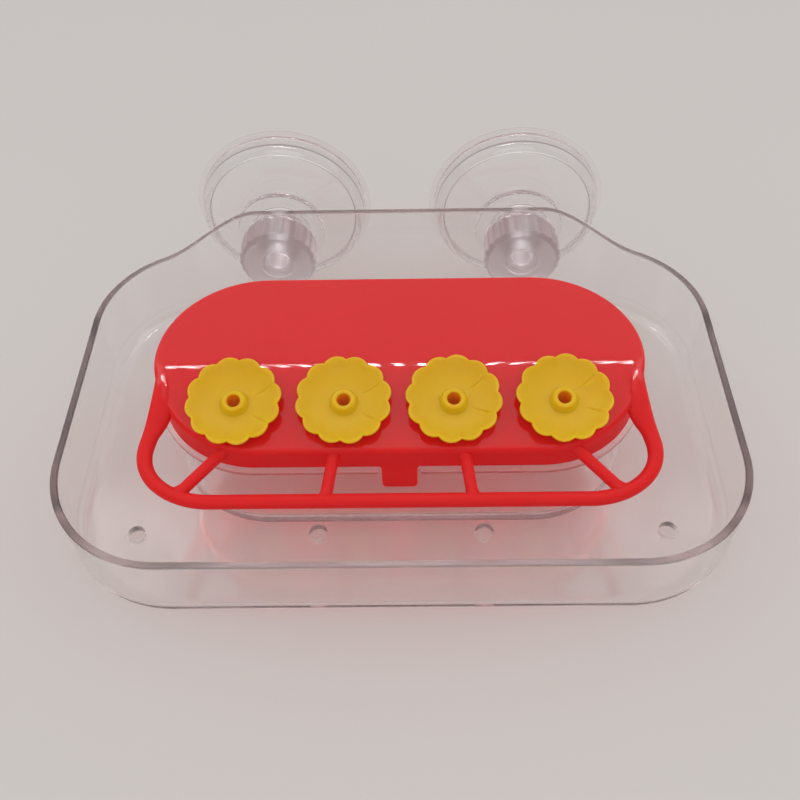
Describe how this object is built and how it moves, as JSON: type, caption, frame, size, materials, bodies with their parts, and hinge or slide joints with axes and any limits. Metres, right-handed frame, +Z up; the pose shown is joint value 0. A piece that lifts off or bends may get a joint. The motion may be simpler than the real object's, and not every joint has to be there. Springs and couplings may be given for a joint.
{
  "type": "window hummingbird feeder",
  "caption": "Clear tray hung on a pane by suction cups, holding a clear nectar cup with a red lid, a wrap-round perch and yellow flower-shaped feeding ports.",
  "frame": {"origin": "middle of the tray's flat underside, front to back at the rim and side to side", "axes": "+Z up, +Y from the perch towards the window pane, +X to the right of someone facing the perch"},
  "size_m": [0.18, 0.132, 0.0555],
  "materials": {
    "clear_tray": "clear polished moulding",
    "clear_cup": "clear polished moulding",
    "red_lid": "glossy moulded red",
    "yellow_flower": "satin moulded yellow",
    "clear_vinyl": "clear soft vinyl",
    "clear_hardware": "clear moulding"
  },
  "bodies": {
    "tray": {"tray": "clear_tray", "suction_cup_left": "clear_vinyl", "suction_cup_right": "clear_vinyl", "stud_left": "clear_hardware", "stud_right": "clear_hardware"},
    "nectar_cup": {"nectar_cup": "clear_cup"},
    "lid": {"lid_with_perch": "red_lid"},
    "flower_1": {"flower_1": "yellow_flower"},
    "flower_2": {"flower_2": "yellow_flower"},
    "flower_3": {"flower_3": "yellow_flower"},
    "flower_4": {"flower_4": "yellow_flower"},
    "nut_left": {"nut_left": "clear_hardware"},
    "nut_right": {"nut_right": "clear_hardware"}
  },
  "joints": [
    {"name": "nectar_cup_lift", "type": "slide", "parent": "tray", "child": "nectar_cup", "axis": [0, 0, 1], "range_m": [0, 0.06]},
    {"name": "lid_lift", "type": "slide", "parent": "nectar_cup", "child": "lid", "axis": [0, 0, 1], "range_m": [0, 0.04]},
    {"name": "flower_1_pull", "type": "slide", "parent": "lid", "child": "flower_1", "axis": [0, -0.2588, 0.9659], "range_m": [0, 0.015]},
    {"name": "flower_2_pull", "type": "slide", "parent": "lid", "child": "flower_2", "axis": [0, -0.2588, 0.9659], "range_m": [0, 0.015]},
    {"name": "flower_3_pull", "type": "slide", "parent": "lid", "child": "flower_3", "axis": [0, -0.2588, 0.9659], "range_m": [0, 0.015]},
    {"name": "flower_4_pull", "type": "slide", "parent": "lid", "child": "flower_4", "axis": [0, -0.2588, 0.9659], "range_m": [0, 0.015]},
    {"name": "nut_left_turn", "type": "hinge", "parent": "tray", "child": "nut_left", "pos_m": [-0.037, 0.05, 0.028], "axis": [0, 1, 0], "continuous": true},
    {"name": "nut_right_turn", "type": "hinge", "parent": "tray", "child": "nut_right", "pos_m": [0.037, 0.05, 0.028], "axis": [0, 1, 0], "continuous": true}
  ]
}
